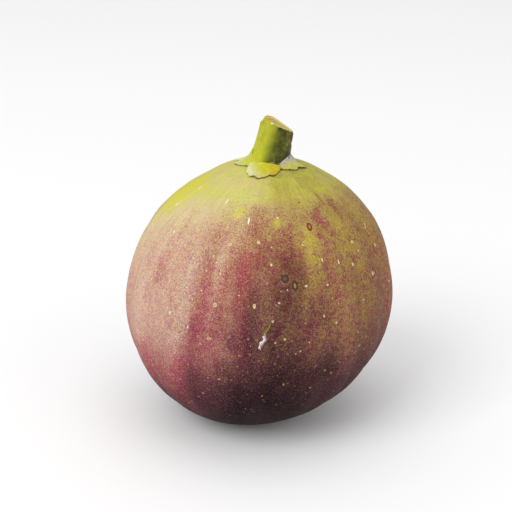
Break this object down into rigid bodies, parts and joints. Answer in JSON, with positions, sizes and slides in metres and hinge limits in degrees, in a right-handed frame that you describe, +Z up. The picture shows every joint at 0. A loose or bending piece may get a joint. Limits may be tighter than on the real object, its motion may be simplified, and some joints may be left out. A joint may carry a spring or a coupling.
{
  "type": "fig",
  "caption": "Whole fresh fig, round and softly ribbed, with a short slanted cut stalk, dry basal bracts and a scaly eye in the small flat underneath that it stands on.",
  "frame": {"origin": "middle of the bottom of the fig's box, on the surface that it rests on", "axes": "+Z up, from the eye to the stalk; -Y is the front, the side with the widest bract; the crown leans a little to +X"},
  "size_m": [0.048, 0.0468, 0.0563],
  "materials": {
    "skin": "satin",
    "stalk": "matte",
    "bract": "matte",
    "eye_scale": "matte"
  },
  "bodies": {
    "root": {"fruit_body": "skin", "stalk": "stalk", "bract_front": "bract", "bract_right": "bract", "bract_left": "bract", "eye_scales": "eye_scale"}
  },
  "joints": []
}
